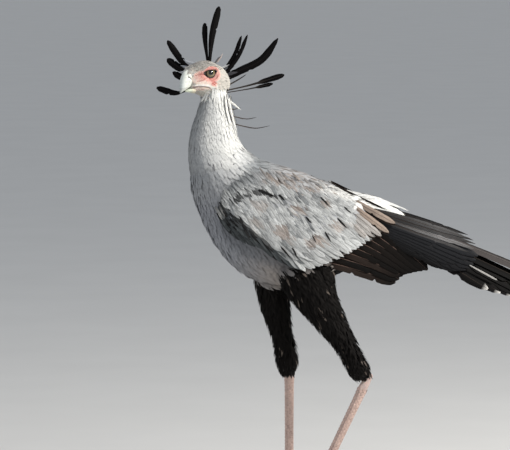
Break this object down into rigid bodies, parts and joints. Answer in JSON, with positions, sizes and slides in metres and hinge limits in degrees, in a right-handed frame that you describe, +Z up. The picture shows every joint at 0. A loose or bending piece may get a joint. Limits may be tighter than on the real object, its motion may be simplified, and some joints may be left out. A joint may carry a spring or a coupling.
{
  "type": "life-size model of a standing secretary bird",
  "caption": "Still model of a long-legged bird of prey in mid-stride, with a fanned crest, folded wings and long central tail feathers, standing on its own feet.",
  "frame": {"origin": "middle of the underside of the bird's bounding box, on the floor that it stands on", "axes": "+Z is up, -X is the way the bird walks, and +Y is its right side"},
  "size_m": [1.156, 0.2158, 1.208],
  "materials": {
    "plumage_pale": "pale grey and white body feathers, matt",
    "plumage_coverts": "grey scalloped wing coverts with worn tan patches, matt",
    "plumage_black": "black feathers of the crest, flight feathers and trousers, faint gloss",
    "plumage_flight": "brown-black flight feathers, faint gloss",
    "plumage_tail": "grey central tail feathers with a dark band and white tip",
    "bill_horn": "pale blue-grey horn, satin",
    "eye": "clear wet surface over a hazel iris",
    "leg_skin": "pale pinkish scutes, matt to satin",
    "claw_horn": "dark horn, satin"
  },
  "bodies": {
    "root": {"bill_lower": "bill_horn", "bill_upper": "bill_horn", "claw_hind_left": "claw_horn", "claw_hind_right": "claw_horn", "claw_inner_left": "claw_horn", "claw_inner_right": "claw_horn", "claw_middle_left": "claw_horn", "claw_middle_right": "claw_horn", "claw_outer_left": "claw_horn", "claw_outer_right": "claw_horn", "eye_left": "eye", "eye_right": "eye", "foot_left": "leg_skin", "foot_right": "leg_skin", "head": "plumage_pale", "neck_lower": "plumage_pale", "neck_upper": "plumage_pale", "primaries_left": "plumage_flight", "primaries_right": "plumage_flight", "secondaries_left": "plumage_flight", "secondaries_right": "plumage_flight", "tail": "plumage_black", "tail_central_left": "plumage_tail", "tail_central_right": "plumage_tail", "tarsus_left": "leg_skin", "tarsus_right": "leg_skin", "thigh_left": "plumage_black", "thigh_right": "plumage_black", "trunk": "plumage_pale", "wing_left": "plumage_coverts", "wing_right": "plumage_coverts"}
  },
  "joints": []
}
